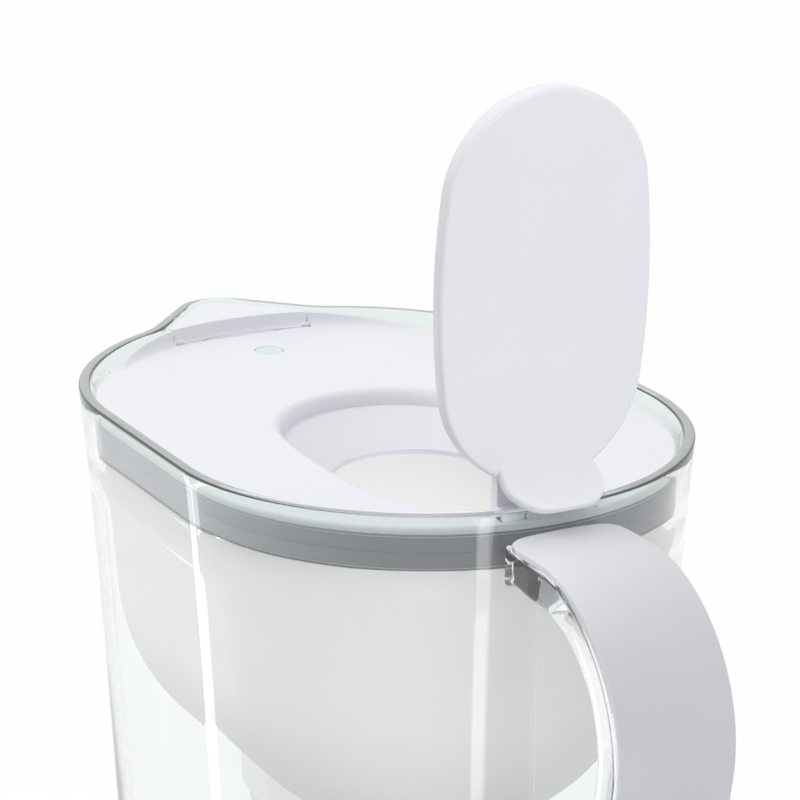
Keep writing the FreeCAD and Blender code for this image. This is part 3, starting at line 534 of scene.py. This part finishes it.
# Woven polyester screen: threads that cross at right angles. The real threads are a fifth of a millimetre
# apart and are drawn three times as coarse so that the weave shows.
thread_spacing = 0.6
thread_relief = 0.1
wave_length = math.pi / 10
screen_cloth, tree, surface = new_material("woven_polyester_screen")
place = add_node(tree, "ShaderNodeTexCoord")
weave = [add_node(tree, "ShaderNodeTexWave", {"Vector": place.outputs["Object"],
                                              "Scale": wave_length / (thread_spacing * MM)},
                  bands_direction=way) for way in ("X", "Y")]
crossing = add_node(tree, "ShaderNodeMath", {0: weave[0].outputs["Fac"], 1: weave[1].outputs["Fac"]},
                    operation="MAXIMUM")
thread = add_node(tree, "ShaderNodeMix", {"Factor": crossing.outputs[0], 6: srgb("#8e9395"),
                                          7: srgb("#f0f2f3")}, data_type="RGBA")
relief = add_node(tree, "ShaderNodeBump", {"Height": crossing.outputs[0], "Strength": 0.6,
                                           "Distance": thread_relief * MM})
shader = add_node(tree, "ShaderNodeBsdfPrincipled", {"Base Color": thread.outputs[2], "Roughness": 0.5,
                                                     "Normal": relief.outputs["Normal"]})
tree.links.new(shader.outputs["BSDF"], surface)
finish_node(screen_cloth, "inlet_screen", "outlet_screen")

# Activated carbon and ion exchange resin: broken black grains among round amber beads.
grain_size = 0.9
grain_relief = 0.4
resin_start = 0.7
granules, tree, surface = new_material("carbon_and_resin_granules")
place = add_node(tree, "ShaderNodeTexCoord")
grains = add_node(tree, "ShaderNodeTexVoronoi", {"Vector": place.outputs["Object"],
                                                 "Scale": 1 / (grain_size * MM)})
pick = add_node(tree, "ShaderNodeSeparateColor", {"Color": grains.outputs["Color"]})
kinds = add_node(tree, "ShaderNodeValToRGB", {"Fac": pick.outputs["Red"]})
kinds.color_ramp.interpolation = "CONSTANT"
kinds.color_ramp.elements[0].color = srgb("#1d1c1b")
kinds.color_ramp.elements[1].position = resin_start
kinds.color_ramp.elements[1].color = srgb("#9a6a2c")
relief = add_node(tree, "ShaderNodeBump", {"Height": grains.outputs["Distance"], "Strength": 1.0,
                                           "Distance": grain_relief * MM}, invert=True)
shader = add_node(tree, "ShaderNodeBsdfPrincipled", {"Base Color": kinds.outputs["Color"], "Roughness": 0.55,
                                                     "Normal": relief.outputs["Normal"]})
tree.links.new(shader.outputs["BSDF"], surface)
finish_node(granules, "filter_media")

# Lid
# A white ABS plate set inside the rim, with the recess and hole for filling, a raised lip beside the spout
# and a plug ring that centres it in the funnel. Moulded with a polished face.

# Polished ABS: a cool white with a clear gloss.
lid_plastic = moulded_plastic("polished_abs", "#f2f3f9", "#eff0f6", 0.6, 0.1, 0.3)
finish_node(lid_plastic, "lid")

# Indicator module
# A sealed box under the lid that tells when the cartridge is spent: a pale aqua window that is also the
# button, a circuit board with lamp and switch, a button cell in its clip, and a cover on a gasket.

# Aqua acrylic: a pale, bright window.
window_plastic = moulded_plastic("aqua_acrylic", "#dcf0f0", "#d6ebec", 0.8, 0.1, 0.25)
finish_node(window_plastic, "indicator_button")
# Matt ABS: a plain light grey.
module_plastic = moulded_plastic("matt_abs", "#e6e8e8", "#e0e2e2", 0.5, 0.4, 0.5)
finish_node(module_plastic, "indicator_housing", "indicator_cover")
finish_node(seal_silicone, "indicator_gasket")
# Epoxy resin: a smooth, yellowish white lens.
lamp_resin = moulded_plastic("epoxy_resin", "#eef2d6", "#e6ebc8", 0.3, 0.1, 0.15)
finish_node(lamp_resin, "indicator_lamp")
# Black polyamide: dark and dull.
switch_plastic = moulded_plastic("black_polyamide", "#2a2b2d", "#232426", 0.3, 0.3, 0.5)
finish_node(switch_plastic, "indicator_switch")

# Glass-fibre laminate under green solder mask: straight copper tracks show as a lighter net.
track_pitch = 2.4
track_width = 0.5
track_relief = 0.05
laminate, tree, surface = new_material("glass_fibre_laminate")
place = add_node(tree, "ShaderNodeTexCoord")
tracks = add_node(tree, "ShaderNodeTexBrick", {
    "Vector": place.outputs["Object"], "Color1": srgb("#1f6b43"), "Color2": srgb("#1b6240"),
    "Mortar": srgb("#3c9463"), "Scale": 1.0, "Mortar Size": track_width / 2 * MM,
    "Brick Width": 2 * track_pitch * MM, "Row Height": track_pitch * MM})
relief = add_node(tree, "ShaderNodeBump", {"Height": tracks.outputs["Fac"], "Strength": 0.4,
                                           "Distance": track_relief * MM})
shader = add_node(tree, "ShaderNodeBsdfPrincipled", {"Base Color": tracks.outputs["Color"], "Roughness": 0.35,
                                                     "Normal": relief.outputs["Normal"]})
tree.links.new(shader.outputs["BSDF"], surface)
finish_node(laminate, "indicator_board")

line_stretch = 0.95
line_depth = 0.02
line_gloss_range = 0.08


def worked_metal(name, light, dark, line, along, roughness):
    """Bright metal with the fine lines that drawing or rolling leaves along one direction."""
    material, tree, surface = new_material(name)
    place = add_node(tree, "ShaderNodeTexCoord")
    spread = Vector((1, 1, 1)) - Vector(along) * line_stretch
    drawn = add_node(tree, "ShaderNodeMapping", {"Vector": place.outputs["Object"], "Scale": spread})
    lines = add_node(tree, "ShaderNodeTexNoise", {"Vector": drawn.outputs["Vector"], "Scale": 1 / (line * MM),
                                                  "Detail": 2.0})
    colour = add_node(tree, "ShaderNodeMix", {"Factor": lines.outputs["Fac"], 6: srgb(light), 7: srgb(dark)},
                      data_type="RGBA")
    gloss = add_node(tree, "ShaderNodeMapRange", {"Value": lines.outputs["Fac"],
                                                  "To Min": roughness - line_gloss_range,
                                                  "To Max": roughness + line_gloss_range})
    relief = add_node(tree, "ShaderNodeBump", {"Height": lines.outputs["Fac"], "Strength": 0.2,
                                               "Distance": line_depth * MM})
    shader = add_node(tree, "ShaderNodeBsdfPrincipled", {
        "Base Color": colour.outputs[2], "Metallic": 1.0, "Roughness": gloss.outputs["Result"],
        "Normal": relief.outputs["Normal"]})
    tree.links.new(shader.outputs["BSDF"], surface)
    return material


# Nickel-plated steel: warm bright metal.
cell_steel = worked_metal("nickel_plated_steel", "#d6d5d0", "#c6c5bf", 0.3, (1, 0, 0), 0.25)
finish_node(cell_steel, "coin_cell")
# Rolled spring steel: cooler, a little duller metal.
clip_steel = worked_metal("rolled_spring_steel", "#c9cbcd", "#b4b6b9", 0.25, (1, 0, 0), 0.3)
finish_node(clip_steel, "cell_clip")

# Spout flap
# A light ABS flap over the spout that water swings up on two trunnions. Its hollow front carries on the curve
# of the lid's lip on both sides, and its flat top runs out to the tip of the spout at the level of the rim.

lid_level = 252.8
flap_level = 255.7
seam_half_width = 16.6
seam_turn = math.radians(19.2)
crease_radius = 49.3
cove_width = 2.3
cove_power = 2.7
beak_gap = 1.4
beak_thickness = 1.6
beak_round = 0.3
beak_rows = 40
beak_columns = 48
trunnion_segments = 24
trunnion_radius = 0.7
trunnion_length = 3.4
trunnion_x = -68.28
trunnion_z = 252.94

beak = bmesh.new()
bmesh.ops.create_grid(beak, x_segments=beak_rows, y_segments=beak_columns, size=1.0)
for vert in beak.verts:
    turn = vert.co.y * seam_turn
    way = ((vert.co.x + 1) / 2) ** 2
    reach = spout_radius(turn, jug_wall + beak_gap)
    y = reach * math.sin(turn)
    y = max(-seam_half_width, min(seam_half_width, y))
    crease = math.sqrt(crease_radius ** 2 - y ** 2)
    run = (reach * math.cos(turn) - crease) * way
    lift = (flap_level - lid_level) * min(1.0, run / cove_width) ** cove_power
    vert.co = (-half_spacing - crease - run, y, lid_level + lift)
grown = bmesh.ops.extrude_face_region(beak, geom=beak.faces[:])["geom"]
bmesh.ops.translate(beak, vec=(0, 0, -beak_thickness),
                    verts=[item for item in grown if isinstance(item, bmesh.types.BMVert)])
bmesh.ops.recalc_face_normals(beak, faces=beak.faces)
edges = [edge for edge in beak.edges if len(edge.link_faces) == 2
         and edge.calc_face_angle() > crease_limit]
bmesh.ops.bevel(beak, geom=edges, offset=beak_round, offset_type="OFFSET", segments=crease_segments,
                profile=0.5, affect="EDGES", clamp_overlap=True, material=-1)
for side in (1, -1):
    pin = bmesh.ops.create_cone(beak, cap_ends=True, segments=trunnion_segments,
                                radius1=trunnion_radius, radius2=trunnion_radius,
                                depth=trunnion_length)["verts"]
    bmesh.ops.rotate(beak, verts=pin, cent=(0, 0, 0), matrix=Matrix.Rotation(math.pi / 2, 3, "X"))
    bmesh.ops.translate(beak, verts=pin, vec=(trunnion_x, side * seam_half_width, trunnion_z))
set_piece(finished_mesh(beak, "spout_beak"), lid_plastic, "spout_flap", "lid_plastic", "spout_flap")

# Filling flap
# The large oval flap over the hole, crowned and hollow, in polished white ABS. Two ears turn on a drawn steel
# pin through the lid's knuckle, and a thumb tab at the foot lifts it. Its face is left plain.

# Polished ABS of the flap: the lid's white made a shade greyer, as painted shade for its face turned from the
# light.
painted_shade_flap_plastic = moulded_plastic("polished_abs_flap_painted_shade", "#edeef3", "#eaebf0", 0.6, 0.1, 0.3)
finish_node(painted_shade_flap_plastic, "fill_flap")
# Drawn stainless steel: fine lines along the pin.
pin_steel = worked_metal("drawn_stainless_steel", "#cfd1d3", "#bcbec1", 0.15, (0, 1, 0), 0.28)
finish_node(pin_steel, "flap_hinge_pin")

# Stage
# A pale floor that keeps a soft shadow, under a white sky that is dimmer towards the viewer. A broad lamp is
# high on the left, a weak one in front, and small ones fill single pieces or draw lines on the clear wall.


def seen_share(tree):
    """One for what the eye sees, straight on or in gloss and clear plastic, and nothing for other light."""
    ray = add_node(tree, "ShaderNodeLightPath")
    seen = ray.outputs["Is Camera Ray"]
    for kind in ("Is Glossy Ray", "Is Transmission Ray"):
        either = add_node(tree, "ShaderNodeMath", {0: seen, 1: ray.outputs[kind]}, operation="MAXIMUM")
        seen = either.outputs[0]
    return seen


floor_half_width = 6.0
floor_glow = 0.95
floor_shape = bmesh.new()
bmesh.ops.create_grid(floor_shape, x_segments=2, y_segments=2, size=floor_half_width)
floor_mesh = bpy.data.meshes.new("studio_floor")
floor_shape.to_mesh(floor_mesh)
floor_shape.free()
floor = bpy.data.objects.new("studio_floor", floor_mesh)
bpy.context.scene.collection.objects.link(floor)
floor_paint, tree, surface = new_material("studio_floor")
seen = seen_share(tree)
paint = add_node(tree, "ShaderNodeMix", {"Factor": seen, 6: srgb("#a8a8a8"), 7: srgb("#f8f8f8")},
                 data_type="RGBA")
matt = add_node(tree, "ShaderNodeBsdfDiffuse", {"Color": paint.outputs[2]})
white = add_node(tree, "ShaderNodeEmission", {"Color": (1, 1, 1, 1), "Strength": 1.0})
share = add_node(tree, "ShaderNodeMath", {0: seen, 1: floor_glow}, operation="MULTIPLY")
mixed = add_node(tree, "ShaderNodeMixShader", {0: share.outputs[0], 1: matt.outputs[0], 2: white.outputs[0]})
tree.links.new(mixed.outputs[0], surface)
floor_mesh.materials.append(floor_paint)

viewer_way = (0.88, -0.47, 0)
sky_behind = 0.96
sky_ahead = 0.48
world = bpy.data.worlds.new("studio")
bpy.context.scene.world = world
world.use_nodes = True
tree = world.node_tree
tree.nodes.clear()
place = add_node(tree, "ShaderNodeTexCoord")
ahead = add_node(tree, "ShaderNodeVectorMath", {0: place.outputs["Generated"], 1: viewer_way},
                 operation="DOT_PRODUCT")
level = add_node(tree, "ShaderNodeMapRange", {"Value": ahead.outputs["Value"], "From Min": -1.0,
                                              "To Min": sky_behind, "To Max": sky_ahead})
ambient = add_node(tree, "ShaderNodeBackground", {"Color": (1, 1, 1, 1), "Strength": level.outputs["Result"]})
backdrop = add_node(tree, "ShaderNodeBackground", {"Color": (1, 1, 1, 1), "Strength": 1.0})
mixed = add_node(tree, "ShaderNodeMixShader", {0: seen_share(tree), 1: ambient.outputs[0],
                                               2: backdrop.outputs[0]})
add_node(tree, "ShaderNodeOutputWorld", {"Surface": mixed.outputs[0]})


def add_softbox(name, place, aim, size, power, mirrored=True, lit=()):
    """A soft lamp that faces a point. It may leave no image in gloss, or light some pieces alone."""
    lamp = bpy.data.lights.new(name, "AREA")
    lamp.shape = "RECTANGLE"
    lamp.size, lamp.size_y = size
    lamp.energy = power
    box = bpy.data.objects.new(name, lamp)
    box.location = place
    box.rotation_euler = (Vector(aim) - Vector(place)).to_track_quat("-Z", "Y").to_euler()
    box.visible_camera = False
    box.visible_glossy = mirrored
    bpy.context.scene.collection.objects.link(box)
    if lit:
        box.light_linking.receiver_collection = bpy.data.collections.new(name)
        for piece in lit:
            box.light_linking.receiver_collection.objects.link(piece)


add_softbox("back_softbox", (-0.7, -0.8, 1.3), (0, 0, 0.25), (1.0, 1.0), 8.2, mirrored=False)
add_softbox("front_softbox", (1.7, -0.9, 0.9), (0.07, 0, 0.25), (0.8, 0.8), 1.0, mirrored=False)
add_softbox("flap_fill", (0.55, 0.03, 0.46), (0.055, 0, 0.33), (0.2, 0.2), 1.0, mirrored=False,
            lit=[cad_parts["fill_flap"]])
add_softbox("funnel_fill", (1.1, -0.6, 0.3), (0, 0, 0.2), (0.6, 0.6), 3.6, mirrored=False,
            lit=[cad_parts["funnel"]])
add_softbox("lip_fill", (-0.6, -0.85, 0.4), (-0.03, -0.05, 0.25), (0.4, 0.4), 8.0, mirrored=False,
            lit=lips)
add_softbox("basin_fill", (0.012, 0, 0.215), (-0.06, 0, 0.215), (0.03, 0.02), 0.012, mirrored=False)
add_softbox("right_strip", (0.372, 0.012, 0.075), (0.073, -0.014, 0.24), (0.116, 0.15), 0.13)
add_softbox("left_strip", (-0.241, -0.194, 0.09), (0.024, -0.053, 0.225), (0.03, 0.15), 0.03)

# Camera
# It looks down on the lid from the handle's side, as far round and as high as in the photograph.

image_width = 800
focal_pixels = 3284.4
camera_place = Vector((0.5881, -0.3050, 0.4647))
camera_turn = math.radians(62.21)
camera_tilt = math.radians(17.48)
camera_data = bpy.data.cameras.new("camera")
camera_data.sensor_width = 36.0
camera_data.lens = focal_pixels / image_width * camera_data.sensor_width
camera_data.clip_start = 0.01
camera = bpy.data.objects.new("camera", camera_data)
bpy.context.scene.collection.objects.link(camera)
back = Vector((math.sin(camera_turn) * math.cos(camera_tilt), -math.cos(camera_turn) * math.cos(camera_tilt),
               math.sin(camera_tilt)))
right = Vector((math.cos(camera_turn), math.sin(camera_turn), 0))
axes = Matrix((right, back.cross(right), back)).transposed()
camera.matrix_world = Matrix.Translation(camera_place) @ axes.to_4x4()
bpy.context.scene.camera = camera
bpy.context.scene.view_settings.view_transform = "Standard"
